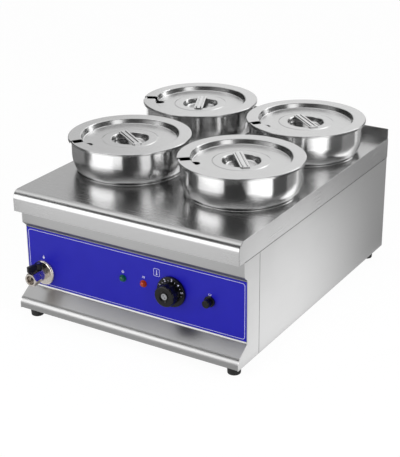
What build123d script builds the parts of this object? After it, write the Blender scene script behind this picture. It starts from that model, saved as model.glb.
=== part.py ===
from build123d import *
import os
from math import cos, hypot, radians, sin, tan

# Countertop bain marie: four round lift-out pots over one electrically heated water tank.
# Millimetres. X runs to the right, Y to the back and Z up. The origin is on the table, under the
# middle of the whole appliance with its tap and cable gland.

# Sheet metal and fits
sheet = 1.0             # thickness of every casing sheet and of the tank
tight_bend = 0.8        # inside radius of a pressed fold
seam_gap = 0.6          # open line between two neighbouring panels
lap = 12.0              # width of a hidden lap behind a seam
seat_gap = 0.3          # air between a lift-off piece and its seat
fit_gap = 0.1           # radial room of a fixed piece in its hole
running_gap = 0.05      # radial room of a shaft that turns or slides

# Worktop
worktop_height = 215.5  # top face above the table
skirt_height = 33.5
skirt_return = 12.0     # fold under the front skirt
front_bend = 13.0       # outer radius along the front edge
edge_round = 0.8        # outer radius along the side edges
upstand_height = 17.0
hem_height = 6.0        # folded edge along the top of the upstand
collar_rise = 1.5
collar_crest = 2.6      # width of a collar's top
collar_flank = 1.5      # run of its sloping outer side
collar_foot = 2.0       # flat joining strip around it
collar_lip = 4.0        # inner lip below the worktop

# Pots
pot_wall = 0.8
pot_neck_radius = 81.5  # lower wall, which drops through the worktop
pot_shoulder = 12.0     # upper wall outside the lower one
pot_drop = 105.5        # bottom of the pot below the top face of the worktop
pot_room = 1.5          # gap between the neck and the lip of the collar
pot_floor_bend = 10.0
pot_neck_bend = 3.0
pot_shoulder_bend = 10.0
shoulder_angle = 30.0   # slope of the shoulder that rests on the collar
pot_flare_angle = 20.0  # degrees from upright, between the shoulder and the upper wall
pot_flare_length = 16.0
pot_flare_bend = 60.0
rim_bead_radius = 1.9

# Lids
lid_rise = 56.0         # top of the lid rim above the worktop
lid_sheet = 0.8
lid_room = 0.8          # gap between the rim of the pot and the edge of the lid
lid_gap_x = 6.7         # between two lids side by side
lid_gap_y = 17.5        # between two lids one behind the other
lid_lip = 4.0           # turned-down edge
lid_step_inset = 15.3   # inner edge of the flat rim inside the wall of the pot
lid_step_depth = 8.0
lid_step_draft = 3.5
lid_ring_width = 13.3   # raised flat around the dish
lid_ring_rise = 0.7
lid_ring_draft = 2.0
lid_dish_radius = 30.0
lid_dish_depth = 9.0
lid_dish_draft = 5.0
lid_dish_bend = 4.0
lid_dish_edge = 2.0     # bend at the top of the dish
lid_bend = 1.4
lid_fine_bend = 0.7
ladle_notch_width = 14.0
ladle_notch_run = 15.0  # inner end of the notch inside the step
notch_angle_back_left = -155.0    # degrees from +X
notch_angle_front_left = -125.0   # degrees
notch_angle_back_right = -130.0   # degrees
notch_angle_front_right = -140.0  # degrees

# Lid handles
handle_width = 14.5
handle_sheet = 1.6
handle_tab = 4.5        # length of each end that lies on the raised flat
handle_corner = 2.5
handle_rib_radius = 1.3
handle_rib_spread = 7.4

# Front of the casing
casing_inset = 0.5      # casing faces behind the skirt faces
band_setback = 17.0     # band behind the front of the worktop
band_height = 25.0      # from the bottom of the skirt down to the undercut
undercut_drop = 8.5
panel_setback = 26.0    # flat of the fascia behind the front of the worktop
panel_sheet = 1.0
panel_reveal_above = 1.5  # bare strip of fascia above the control panel
panel_reveal_below = 2.8  # and below it
toe_proud = 1.5         # nose in front of the worktop
toe_height = 14.5       # from the bottom of the casing up to the nose
toe_rise = 18.0         # of the slope behind the nose
toe_bend = 12.0
toe_root_bend = 5.0     # hollow where the slope meets the flat
toe_return = 40.0       # bottom fold behind the nose
fascia_flange = 28.0    # fold under the worktop

# Casing behind the front
cheek_depth = 60.0      # seam behind the front of the worktop
side_flange = 32.0      # fold under each side panel
rear_flange = 14.0
vent_width = 4.0
vent_length = 50.0
vent_pitch = 12.0
vent_count = 9
vent_row_shift = 60.0   # each row of vents from the middle of the base

# Feet
foot_height = 16.0
foot_top_radius = 11.0
foot_tread_radius = 10.0
foot_round = 1.2
foot_side_inset = 18.0
foot_front_inset = 18.0
foot_back_inset = 27.0
foot_well_radius = 5.6
foot_well_depth = 7.0
foot_screw_radius = 2.4
foot_screw_head_radius = 4.8
foot_screw_head = 3.0
foot_boss_radius = 5.0
foot_boss_height = 5.0

# Water tank
tank_side_margin = 4.5  # wall beside the necks of the pots
tank_front_margin = 12.0
tank_back_margin = 14.0
tank_side_room = 2.65   # between the flange of the tank and the folds of the casing
tank_rear_room = 14.75
control_bay = 56.25     # between the fascia and the tank
tank_corner = 6.0
tank_flange = 6.0

# Heating element
element_radius = 4.0
element_lift = 18.0     # middle of the tube above the tank floor
element_terminal_x = 25.0
element_side_run = 57.85  # sides of the loop before the tank walls
element_front_run = 42.0  # front of the loop behind the tank wall
element_back_run = 40.0   # back of the loop before the tank wall
element_bend = 25.0
element_collar_radius = 7.0
element_flange_radius = 10.0
element_flange = 2.0
element_thread = 9.0
element_pin_radius = 2.0
element_pin = 10.0
element_nut_flats = 18.0
element_nut = 5.0
saddle_width = 18.0
saddle_thickness = 3.0
saddle_crown = 4.0

# Controls, measured from the right end and from the bottom edge of the control panel
control_rise = 50.2
power_lamp_inset = 214.5
heat_lamp_inset = 177.0
dial_inset = 126.5
reset_inset = 61.5

# Lamps
lens_radius = 4.8
lens_rise = 4.2
lens_round = 3.4
lens_flange_radius = 5.8
lens_flange = 1.2
lens_stem_radius = 4.0
lamp_body_radius = 5.6
lamp_body_length = 20.0
lamp_spade_width = 4.8
lamp_spade_thickness = 0.8
lamp_spade_length = 7.0
lamp_spade_spread = 5.0

# Thermostat and its knob
thermostat_width = 42.0
thermostat_depth = 28.0
thermostat_tall = 38.0
thermostat_round = 2.0
spindle_radius = 3.0
spindle_seat = 14.0     # length inside the thermostat
spindle_grip = 12.0     # length inside the knob
thermostat_screw_spread = 28.0
screw_radius = 1.6
screw_head_radius = 3.0
screw_head = 1.8
screw_bite = 6.0
knob_gap = 0.8          # between the knob and the control panel
knob_skirt_radius = 24.0
knob_skirt = 4.2
knob_skirt_round = 1.0
knob_hollow_radius = 21.5
knob_hollow = 3.0
knob_hub_radius = 6.5
knob_grip_radius = 17.6
knob_grip_front_radius = 16.8
knob_length = 23.0      # front of the grip from the control panel
knob_round = 2.6
knob_lobes = 10
knob_scallop_radius = 8.0
knob_scallop_depth = 1.4
knob_recess_radius = 8.8  # mouth of the hollow in its front
knob_recess_floor = 6.0   # radius of the hollow at its floor
knob_recess = 2.0
insert_radius = 5.0
insert_thickness = 1.2
insert_hole_radius = 0.9
insert_hole_spread = 4.0
insert_turn = -48.0     # degrees from +X to the line of the holes

# Manual-reset cut-out
bezel_flange = 1.2      # wider than the barrel
bezel_thickness = 3.0
bezel_round = 0.8
barrel_wall = 1.15
barrel_length = 12.0
button_radius = 6.2
button_reach = 13.0     # front of the button from the control panel
button_travel = 3.0
button_round = 1.0
cutout_width = 30.0
cutout_depth = 22.0

# Sensing bulbs
capillary_radius = 0.8
capillary_bend = 5.0
bulb_radius = 3.0
bulb_length = 80.0
bulb_lift = 30.0        # above the tank floor
bulb_inset = 95.5       # both bulbs from the right end of the control panel
bulb_spread = 9.0
bulb_lead = 16.0        # bare capillary inside the tank
bulb_gland_radius = 8.5
bulb_gland_flats = 22.0
bulb_gland_head = 6.0
bulb_gland_inner = 4.0

# Drain and tap
tap_rise = 23.7         # above the bottom edge of the control panel
drain_lift = 21.0       # middle of the drain above the tank floor
drain_inset = 19.85     # middle of the drain inside the side wall of the tank
drain_pipe_radius = 8.0
drain_bore_radius = 5.5
drain_shoulder_radius = 11.5
drain_shoulder = 3.0
drain_gasket_radius = 11.0
drain_gasket_thickness = 2.0
drain_nut_flats = 22.0
drain_nut = 5.0
tap_reach = 36.0        # front of the outlet from the control panel
escutcheon_radius = 20.5
escutcheon_thickness = 5.5
escutcheon_round = 3.6
tap_tail_wall = 1.9
tap_tail_socket = 4.5
tap_body_wall = 5.6
tap_outlet_flats = 20.0
tap_spigot_radius = 7.6
tap_spigot = 1.8
tap_thread_radius = 7.5
tap_thread_depth = 10.0
tap_way_radius = 3.2
tap_ball_radius = 5.2
tap_hub_gap = 2.2       # between the hub of the lever and the escutcheon
tap_seat = 2.0
tap_stem_radius = 2.4
tap_stem_root = 1.0     # length of the stem inside the ball
tap_lever_turn = 12.0   # lever from in line with the outlet, towards the left
tap_lever_gap = 0.4
tap_lever_tall = 9.5
tap_lever_length = 22.0
tap_lever_thickness = 5.0
tap_lever_round = 1.2
tap_hub_radius = 6.0
lever_screw_radius = 1.5
lever_screw_head_radius = 2.6
lever_screw_head = 1.4
lever_screw_length = 5.0
lever_slot_width = 0.8
lever_slot_depth = 0.7

# Cable gland, terminal block and earth stud
gland_inset = 48.5      # from the side of the casing
gland_rise = 17.0       # above the base panel
gland_barrel_radius = 8.0
gland_bore_radius = 5.0
gland_mouth_radius = 4.5
gland_flats = 22.0
gland_hex = 6.0
gland_cap_radius = 10.5
gland_cap = 13.0
gland_cap_round = 3.0
gland_thread = 12.0
gland_nut_flats = 24.0
gland_nut = 4.0
block_x = -90.0
block_width = 60.0
block_depth = 22.0
block_tall = 24.0
block_ways = 3
block_way_pitch = 12.0
block_well_radius = 2.5
block_well = 8.0
earth_inset = 38.5      # from the side of the casing
earth_radius = 3.0
earth_flats = 10.0
earth_nut = 5.0
earth_length = 14.0
earth_thread_in = 8.0

# Wiring and small screws
wire_radius = 1.3
wire_bend = 6.0
wire_pitch = 2.8        # between leads in the gland
wire_lane = 12.0        # between leads under the tank
wire_low = 6.0          # lead of the cut-out above the base panel
wire_high = 16.0        # lead of the thermostat above the base panel
wire_front = 12.0       # leads in front of the terminal block
link_shift = 8.0        # lead to the element beside the spindle
casing_screw_radius = 1.9
casing_screw_head_radius = 3.5
casing_screw_head = 2.0
casing_screw_length = 8.0
casing_screw_inset = 6.0
casing_screw_low = 28.0   # lower screws above the bottom of the casing
casing_screw_high = 45.4  # upper screws below the top of the casing

# Radii of the pots and lids
pot_bowl_radius = pot_neck_radius + pot_shoulder
rim_middle = pot_bowl_radius - pot_wall / 2 + rim_bead_radius
lid_radius = rim_middle + rim_bead_radius + lid_room + lid_sheet
lid_step_radius = pot_bowl_radius - lid_step_inset
lid_ring_radius = lid_dish_radius + lid_ring_width
ladle_notch_reach = lid_step_radius - ladle_notch_run
hole_radius = pot_neck_radius + pot_room
collar_radius = hole_radius + collar_crest + collar_flank + collar_foot
pot_pitch_x = 2 * lid_radius + lid_gap_x
pot_pitch_y = 2 * lid_radius + lid_gap_y

# Width and depth, from the pots out to the casing
tank_half = pot_pitch_x / 2 + pot_neck_radius + tank_side_margin
tank_depth = tank_front_margin + 2 * pot_neck_radius + pot_pitch_y + tank_back_margin
casing_inner = tank_half + sheet + tank_flange + tank_side_room + sheet
casing_half = casing_inner + sheet
half_width = casing_half + casing_inset
front_part = panel_setback + sheet + control_bay + sheet
rear_part = sheet + tank_flange + tank_rear_room + 2 * sheet + casing_inset
worktop_depth = front_part + tank_depth + rear_part

# Frame: the tap and the gland reach equally far from the middle
panel_stand = panel_setback - panel_sheet
tap_overhang = tap_reach - panel_stand
gland_overhang = gland_hex + gland_cap - casing_inset
front = (tap_overhang - worktop_depth - gland_overhang) / 2
back = front + worktop_depth
tank_front = front + front_part
tank_back = tank_front + tank_depth
tank_wall_face = tank_front - sheet
grid_y = tank_front + tank_front_margin + pot_neck_radius + pot_pitch_y / 2
rear_face = back - casing_inset
rear_inner = rear_face - sheet

# Heights, from the table up
base_under = foot_height + sheet
base_top = base_under + sheet
toe_top = foot_height + toe_height
toe_root = toe_top + toe_rise
panel_bottom = toe_root + panel_reveal_below
control_height = panel_bottom + control_rise
tap_height = panel_bottom + tap_rise
tank_floor_height = tap_height - drain_lift
element_height = tank_floor_height + element_lift
bulb_height = tank_floor_height + bulb_lift
gland_height = base_top + gland_rise
worktop_under = worktop_height - sheet
skirt_bottom = worktop_height - skirt_height
casing_top = skirt_bottom - seam_gap
band_bottom = skirt_bottom - band_height
undercut_bottom = band_bottom - undercut_drop
panel_top = undercut_bottom - panel_reveal_above
collar_top = worktop_height + collar_rise
pot_bottom = worktop_height - pot_drop
lid_top = worktop_height + lid_rise
lid_floor = lid_top - lid_step_depth
lid_ring_top = lid_floor + lid_ring_rise

# Faces of the front
band_face = front + band_setback
fascia_face = front + panel_setback
fascia_back = fascia_face + sheet
panel_face = front + panel_stand
toe_face = front - toe_proud
cheek_back = front + cheek_depth

# Drain, tap, controls and rear fittings
tap_x = drain_inset - tank_half
tap_tail_radius = drain_pipe_radius + fit_gap + tap_tail_wall
tap_body_radius = tap_ball_radius + tap_body_wall
tap_ball_back = tap_hub_radius + tap_hub_gap
tap_body_length = tap_ball_back + tap_ball_radius + seat_gap + tap_spigot
tap_start = panel_face - escutcheon_thickness
tap_body_front = tap_start - tap_body_length
tap_front = panel_face - tap_reach
tap_ball_y = tap_start - tap_ball_back
tap_lever_bottom = tap_height + tap_body_radius + tap_lever_gap
tap_lever_top = tap_lever_bottom + tap_lever_tall
barrel_radius = button_radius + running_gap + barrel_wall
bezel_radius = barrel_radius + bezel_flange
power_lamp_x = casing_inner - power_lamp_inset
heat_lamp_x = casing_inner - heat_lamp_inset
dial_x = casing_inner - dial_inset
reset_x = casing_inner - reset_inset
bulb_x = casing_inner - bulb_inset
gland_x = casing_inner - gland_inset
earth_x = earth_inset - casing_inner

pot_places = {
    "back_left": (-1, 1, notch_angle_back_left),
    "front_left": (-1, -1, notch_angle_front_left),
    "back_right": (1, 1, notch_angle_back_right),
    "front_right": (1, -1, notch_angle_front_right),
}
lamp_places = (power_lamp_x, heat_lamp_x)
foot_places = [
    (side * (half_width - foot_side_inset), y)
    for side in (-1, 1)
    for y in (front + foot_front_inset, back - foot_back_inset)
]
thermostat_screw_places = [dial_x + side * thermostat_screw_spread / 2 for side in (-1, 1)]
casing_screw_places = [
    (side * (casing_inner - casing_screw_inset), height)
    for side in (-1, 1)
    for height in (foot_height + casing_screw_low, casing_top - casing_screw_high)
]


def pot_centre(place):
    """Middle of one pot on the worktop."""
    side, depth, _ = pot_places[place]
    return side * pot_pitch_x / 2, grid_y + depth * pot_pitch_y / 2


def block(x, y, z):
    """Box between the low and high value given for each axis."""
    middle = [(low + high) / 2 for low, high in (x, y, z)]
    lengths = [high - low for low, high in (x, y, z)]
    return Pos(*middle) * Box(*lengths)


def bar_along_y(x, z, y, radius):
    """Round bar along Y between two values of y."""
    return Pos(x, sum(y) / 2, z) * Rot(90, 0, 0) * Cylinder(radius, y[1] - y[0])


def bar_along_z(x, y, z, radius):
    """Round bar along Z between two values of z."""
    return Pos(x, y, sum(z) / 2) * Cylinder(radius, z[1] - z[0])


def hexagon_along_y(x, z, y, flats):
    """Hexagonal bar along Y, with flats at its top and bottom."""
    section = Plane.XZ * RegularPolygon(flats / 2, 6, major_radius=False)
    return Pos(x, y[1], z) * extrude(section, y[1] - y[0])


def tube(points, radius, bend):
    """Round bar along straight runs joined by arcs."""
    path = FilletPolyline(*points, radius=bend)
    section = Plane(origin=path @ 0, z_dir=path % 0) * Circle(radius)
    return sweep(section, path=path)


def shifted(points, distance):
    """The same outline moved to the left of its direction, with mitred corners."""
    normals = []
    for start, end in zip(points, points[1:]):
        run, rise = end[0] - start[0], end[1] - start[1]
        length = hypot(run, rise)
        normals.append((-rise / length, run / length))
    moved = []
    for point, before, after in zip(points, normals[:1] + normals, normals + normals[-1:]):
        share = distance / (1 + before[0] * after[0] + before[1] * after[1])
        moved.append(tuple(p + share * (b + a) for p, b, a in zip(point, before, after)))
    return moved


def sheet_section(points, thickness, bends):
    """Section of a sheet folded along an outline, given the inside radius at each corner.

    The sheet lies to the left of the outline, or to its right if the thickness is negative.
    """
    near, far = [], []
    for start, corner, end, bend in zip(points, points[1:], points[2:], bends):
        first = (corner[0] - start[0], corner[1] - start[1])
        second = (end[0] - corner[0], end[1] - corner[1])
        turns_left = first[0] * second[1] - first[1] * second[0] > 0
        wide = bend + abs(thickness)
        near.append(wide if turns_left == (thickness > 0) else bend)
        far.append(bend if turns_left == (thickness > 0) else wide)
    face = FilletPolyline(*points, radius=near)
    rear = FilletPolyline(*shifted(points, thickness), radius=far)
    ends = [Line(face @ 0, rear @ 0), Line(face @ 1, rear @ 1)]
    return make_face(face.edges() + rear.edges() + ends)


def round_top_front(solid, radius):
    """Solid with its upper front edge rounded."""
    edge = solid.edges().filter_by(Axis.X).group_by(Axis.Z)[-1].sort_by(Axis.Y)[0]
    return fillet(edge, radius)


def make_collar():
    """Pressed collar of one opening, about the Z axis."""
    crest = hole_radius + collar_crest
    points = [
        (collar_radius, worktop_height),
        (crest + collar_flank, worktop_height),
        (crest, collar_top),
        (hole_radius, collar_top),
        (hole_radius, worktop_under - collar_lip),
    ]
    return revolve(Plane.XZ * sheet_section(points, sheet, [tight_bend] * 3), Axis.Z)


def make_worktop():
    """Folded worktop with skirts, an upstand at the back and four collared openings."""
    outer = block((-half_width, half_width), (front, back), (skirt_bottom, worktop_height))
    outer = round_top_front(outer, front_bend)
    for end in (0, -1):
        side = outer.faces().sort_by(Axis.X)[end]
        outer = fillet(side.edges().sort_by(Axis.Z)[1:].sort_by(Axis.Y)[:-1], edge_round)
    hollow = block(
        (sheet - half_width, half_width - sheet),
        (front + sheet, back - sheet),
        (skirt_bottom - sheet, worktop_under),
    )
    top = outer - round_top_front(hollow, front_bend - sheet)
    across = (edge_round - half_width, half_width - edge_round)
    upstand_top = worktop_height + upstand_height
    top += block(across, (back - sheet, back), (worktop_height, upstand_top))
    top += block(across, (back - 2 * sheet, back), (upstand_top - hem_height, upstand_top))
    inside = (sheet - half_width, half_width - sheet)
    top += block(inside, (front, front + skirt_return), (skirt_bottom, skirt_bottom + sheet))
    collar = make_collar()
    for place in pot_places:
        x, y = pot_centre(place)
        top -= bar_along_z(x, y, (worktop_under, worktop_height), collar_radius)
        top += Pos(x, y, 0) * collar
    return top


def make_pot():
    """Spun pot about the Z axis: narrow neck, sloping shoulder, flared bowl and rolled rim."""
    angle = radians(shoulder_angle)
    slope = tan(angle)
    crest_round = tight_bend + sheet
    clear = seat_gap - crest_round * (sin(angle) + cos(angle) - 1)
    neck = collar_top + clear / cos(angle) - pot_room * slope
    flare = radians(pot_flare_angle)
    flare_radius = pot_bowl_radius - pot_flare_length * sin(flare)
    flare_height = neck + (flare_radius - pot_neck_radius) * slope
    bead_height = lid_top - lid_sheet - seat_gap - rim_bead_radius
    points = [
        (0, pot_bottom),
        (pot_neck_radius, pot_bottom),
        (pot_neck_radius, neck),
        (flare_radius, flare_height),
        (pot_bowl_radius, flare_height + pot_flare_length * cos(flare)),
        (pot_bowl_radius, bead_height),
    ]
    bends = [pot_floor_bend, pot_neck_bend, pot_shoulder_bend, pot_flare_bend]
    wall = revolve(Plane.XZ * sheet_section(points, pot_wall, bends), Axis.Z)
    bead = Plane.XZ * Pos(rim_middle, bead_height) * Circle(rim_bead_radius)
    return wall + revolve(bead, Axis.Z)


def make_lid():
    """Pressed lid about the Z axis, with its ladle notch towards +X."""
    points = [
        (0, lid_ring_top - lid_dish_depth),
        (lid_dish_radius - lid_dish_draft, lid_ring_top - lid_dish_depth),
        (lid_dish_radius, lid_ring_top),
        (lid_ring_radius, lid_ring_top),
        (lid_ring_radius + lid_ring_draft, lid_floor),
        (lid_step_radius - lid_step_draft, lid_floor),
        (lid_step_radius, lid_top),
        (lid_radius, lid_top),
        (lid_radius, lid_top - lid_lip),
    ]
    bends = [lid_dish_bend, lid_dish_edge] + [lid_fine_bend] * 2 + [lid_bend] * 2 + [lid_fine_bend]
    lid = revolve(Plane.XZ * sheet_section(points, -lid_sheet, bends), Axis.Z)
    half = ladle_notch_width / 2
    tall = (lid_floor - lid_sheet, lid_top)
    notch = block((ladle_notch_reach + half, lid_radius), (-half, half), tall)
    notch += bar_along_z(ladle_notch_reach + half, 0, tall, half)
    return lid - notch


def make_lid_handle():
    """Ribbed strap across the dish, at right angles to the notch."""
    half_length = lid_dish_radius + handle_tab
    half = handle_width / 2
    strap = block(
        (-half, half), (-half_length, half_length), (lid_ring_top, lid_ring_top + handle_sheet)
    )
    strap = fillet(strap.edges().filter_by(Axis.Z), handle_corner)
    for side in (-1, 1):
        x = side * handle_rib_spread / 2
        run = (handle_tab - half_length, half_length - handle_tab)
        rib = bar_along_y(x, lid_ring_top + handle_sheet, run, handle_rib_radius)
        above = (lid_ring_top + handle_sheet / 2, lid_ring_top + handle_sheet + handle_rib_radius)
        strap += rib & block((-half, half), run, above)
    return strap


def fascia_outline():
    """Outer line of the fascia in Y and Z, from its top fold down to its bottom fold."""
    return [
        (band_face + fascia_flange, worktop_under),
        (band_face, worktop_under),
        (band_face, band_bottom),
        (fascia_face, undercut_bottom),
        (fascia_face, toe_root),
        (toe_face, toe_top),
        (toe_face, foot_height),
        (toe_face + toe_return, foot_height),
    ]


def control_holes(y):
    """Cutters for everything that passes through the front, between two values of y."""
    holes = bar_along_y(dial_x, control_height, y, spindle_radius + 2 * fit_gap)
    holes += bar_along_y(reset_x, control_height, y, barrel_radius + fit_gap)
    holes += bar_along_y(tap_x, tap_height, y, drain_pipe_radius + fit_gap)
    for x in lamp_places:
        holes += bar_along_y(x, control_height, y, lens_stem_radius + fit_gap)
    for x in thermostat_screw_places:
        holes += bar_along_y(x, control_height, y, screw_radius + fit_gap)
    return holes


def foot_holes(z):
    """Cutters for the foot screws between two values of z."""
    return [bar_along_z(x, y, z, foot_screw_radius + fit_gap) for x, y in foot_places]


def make_fascia():
    """Front of the casing, folded from one sheet."""
    bends = [tight_bend] * 3 + [toe_root_bend, toe_bend, tight_bend]
    section = Plane.YZ * sheet_section(fascia_outline(), sheet, bends)
    fascia = extrude(section, casing_inner, both=True)
    fascia -= control_holes((fascia_face, fascia_back))
    for hole in foot_holes((foot_height, base_under)):
        fascia -= hole
    return fascia


def make_control_panel():
    """Flat coloured plate on the fascia."""
    across = casing_inner - fit_gap
    plate = block((-across, across), (panel_face, fascia_face), (panel_bottom, panel_top))
    return plate - control_holes((panel_face, fascia_face))


def make_end_cheek():
    """Right-hand end of the fascia, with a tongue that laps behind the side panel."""
    undercut_share = (panel_stand - band_setback) / (panel_setback - band_setback)
    toe_share = panel_sheet / (panel_setback + toe_proud)
    points = [
        (band_face, casing_top),
        (band_face, band_bottom),
        (panel_face, band_bottom - undercut_share * undercut_drop),
        (panel_face, toe_root - toe_share * (toe_root - toe_top)),
        (toe_face, toe_top),
        (toe_face, foot_height),
        (cheek_back, foot_height),
        (cheek_back, casing_top),
    ]
    bends = [0, tight_bend + sheet, 0, 0, toe_bend + sheet, 0, 0, 0]
    outline = Plane.YZ * make_face(FilletPolyline(*points, radius=bends, close=True))
    cheek = Pos(casing_inner, 0, 0) * extrude(outline, sheet)
    tongue = (cheek_back - lap, cheek_back + lap)
    return cheek + block(
        (casing_inner - sheet, casing_inner), tongue, (foot_height + lap, casing_top - lap)
    )


def make_side_panel():
    """Right-hand side: flat sheet with folds at its top, bottom and back."""
    y = (cheek_back + seam_gap, rear_face)
    panel = block((casing_inner, casing_half), y, (foot_height, casing_top))
    fold = (casing_inner - sheet, casing_inner)
    panel += block(fold, (y[0] + 2 * lap, y[1] - 2 * lap), (casing_top - lap, worktop_under))
    under = (casing_inner - side_flange, casing_inner)
    panel += block(under, (y[0] + 2 * lap, rear_inner), (foot_height, base_under))
    inward = (casing_inner - rear_flange, casing_inner)
    upright = (foot_height + lap, casing_top - 2 * lap)
    panel += block(inward, (rear_inner - sheet, rear_inner), upright)
    for hole in foot_holes((foot_height, base_under)):
        panel -= hole
    for x, z in casing_screw_places:
        panel -= bar_along_y(x, z, (rear_inner - sheet, rear_inner), casing_screw_radius + fit_gap)
    return panel


def make_rear_panel():
    """Back of the casing, with a fold up behind the skirt and one under the base."""
    panel = block((-casing_inner, casing_inner), (rear_inner, rear_face), (foot_height, casing_top))
    inner = casing_inner - 2 * lap
    fold = (rear_inner - sheet, rear_inner)
    panel += block((-inner, inner), fold, (casing_top - lap, worktop_under))
    short = casing_inner - side_flange - seam_gap
    under = (rear_inner - rear_flange, rear_inner)
    panel += block((-short, short), under, (foot_height, base_under))
    through = (rear_inner, rear_face)
    panel -= bar_along_y(gland_x, gland_height, through, gland_barrel_radius + fit_gap)
    panel -= bar_along_y(earth_x, gland_height, through, earth_radius + fit_gap)
    for x, z in casing_screw_places:
        panel -= bar_along_y(x, z, through, casing_screw_radius + fit_gap)
    return panel


def make_base_panel():
    """Bottom sheet on the folds of the other panels, with vents and screw bosses."""
    across = casing_inner - sheet - seam_gap
    y = (toe_face + lap, rear_inner - sheet - seam_gap)
    base = block((-across, across), y, (base_under, base_top))
    boss_top = base_top + foot_boss_height
    for x, foot_y in foot_places:
        base += bar_along_z(x, foot_y, (base_top, boss_top), foot_boss_radius)
    for hole in foot_holes((base_under, boss_top)):
        base -= hole
    for row in (-1, 1):
        middle = (front + back) / 2 + row * vent_row_shift
        for step in range(vent_count):
            x = (step - (vent_count - 1) / 2) * vent_pitch
            base -= block(
                (x - vent_width / 2, x + vent_width / 2),
                (middle - vent_length / 2, middle + vent_length / 2),
                (base_under, base_top),
            )
    return base


def tank_form(grow):
    """Space of the tank, grown by a wall thickness."""
    form = block(
        (-tank_half - grow, tank_half + grow),
        (tank_front - grow, tank_back + grow),
        (tank_floor_height - grow, worktop_under),
    )
    form = fillet(form.edges().filter_by(Axis.Z), tank_corner + grow)
    return fillet(form.faces().sort_by(Axis.Z)[0].edges(), tank_corner + grow)


def make_tank():
    """Deep tank welded under the worktop by its flange."""
    reach = sheet + tank_flange
    flange = block(
        (-tank_half - reach, tank_half + reach),
        (tank_front - reach, tank_back + reach),
        (worktop_under - sheet, worktop_under),
    )
    tank = tank_form(sheet) + flange - tank_form(0)
    wall = (tank_wall_face, tank_front)
    tank -= bar_along_y(tap_x, tap_height, wall, drain_pipe_radius + fit_gap)
    tank -= bar_along_y(bulb_x, bulb_height, wall, bulb_gland_radius + fit_gap)
    for side in (-1, 1):
        x = side * element_terminal_x
        tank -= bar_along_y(x, element_height, wall, element_collar_radius + fit_gap)
    return tank


def make_element():
    """Tubular heating element: one loop above the tank floor, with two threaded collars."""
    nose = tank_wall_face - element_thread
    loop_front = tank_front + element_front_run
    loop_back = tank_back - element_back_run
    loop_side = tank_half - element_side_run
    left = [
        (-element_terminal_x, nose),
        (-element_terminal_x, loop_front),
        (-loop_side, loop_front),
        (-loop_side, loop_back),
    ]
    right = [(-x, y) for x, y in reversed(left)]
    element = tube([(x, y, element_height) for x, y in left + right], element_radius, element_bend)
    for side in (-1, 1):
        x = side * element_terminal_x
        collar = (nose, tank_front)
        element += bar_along_y(x, element_height, collar, element_collar_radius)
        inner = (tank_front, tank_front + element_flange)
        element += bar_along_y(x, element_height, inner, element_flange_radius)
        element += bar_along_y(x, element_height, (nose - element_pin, nose), element_pin_radius)
    return element


def make_element_nuts():
    """Nuts that clamp the element to the tank wall."""
    nuts = []
    run = (tank_wall_face - element_nut, tank_wall_face)
    for side in (-1, 1):
        x = side * element_terminal_x
        nut = hexagon_along_y(x, element_height, run, element_nut_flats)
        nuts.append(nut - bar_along_y(x, element_height, run, element_collar_radius + fit_gap))
    return Compound(nuts)


def make_element_saddles():
    """Plates that hold the loop above the tank floor."""
    saddles = []
    middle = (tank_front + tank_back) / 2
    run = (middle - saddle_thickness / 2, middle + saddle_thickness / 2)
    top = element_height + element_radius + saddle_crown
    for side in (-1, 1):
        x = side * (tank_half - element_side_run)
        plate = block((x - saddle_width / 2, x + saddle_width / 2), run, (tank_floor_height, top))
        saddles.append(plate - bar_along_y(x, element_height, run, element_radius + fit_gap))
    return Compound(saddles)


def make_lamp_lens(x):
    """Domed lens with a flange on the panel and a stem through it."""
    base = panel_face - lens_flange
    lens = bar_along_y(x, control_height, (base - lens_rise, base), lens_radius)
    lens = fillet(lens.edges().sort_by(Axis.Y)[0], lens_round)
    lens += bar_along_y(x, control_height, (base, panel_face), lens_flange_radius)
    return lens + bar_along_y(x, control_height, (panel_face, fascia_back), lens_stem_radius)


def make_lamp_bodies():
    """Lamp holders behind the fascia, each with two spade terminals."""
    bodies = []
    rear = fascia_back + lamp_body_length
    for x in lamp_places:
        body = bar_along_y(x, control_height, (fascia_back, rear), lamp_body_radius)
        for side in (-1, 1):
            middle = x + side * lamp_spade_spread / 2
            body += block(
                (middle - lamp_spade_thickness / 2, middle + lamp_spade_thickness / 2),
                (rear, rear + lamp_spade_length),
                (control_height - lamp_spade_width / 2, control_height + lamp_spade_width / 2),
            )
        bodies.append(body)
    return Compound(bodies)


def make_thermostat():
    """Thermostat behind the fascia, with bores for its spindle and screws."""
    rear = fascia_back + thermostat_depth
    body = block(
        (dial_x - thermostat_width / 2, dial_x + thermostat_width / 2),
        (fascia_back, rear),
        (control_height - thermostat_tall / 2, control_height + thermostat_tall / 2),
    )
    body = fillet(body.edges().filter_by(Axis.Y), thermostat_round)
    seat = (fascia_back, fascia_back + spindle_seat)
    body -= bar_along_y(dial_x, control_height, seat, spindle_radius + running_gap)
    for x in thermostat_screw_places:
        bite = (fascia_back, fascia_back + screw_bite)
        body -= bar_along_y(x, control_height, bite, screw_radius + fit_gap)
    return body


def make_thermostat_screws():
    """Two screws hidden in the hollow of the knob."""
    screws = []
    for x in thermostat_screw_places:
        shank = (panel_face, fascia_back + screw_bite)
        screw = bar_along_y(x, control_height, shank, screw_radius)
        head = (panel_face - screw_head, panel_face)
        screws.append(screw + bar_along_y(x, control_height, head, screw_head_radius))
    return Compound(screws)


def make_spindle():
    """Spindle from the thermostat to the knob."""
    run = (panel_face - knob_gap - spindle_grip, fascia_back + spindle_seat)
    return bar_along_y(dial_x, control_height, run, spindle_radius)


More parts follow.
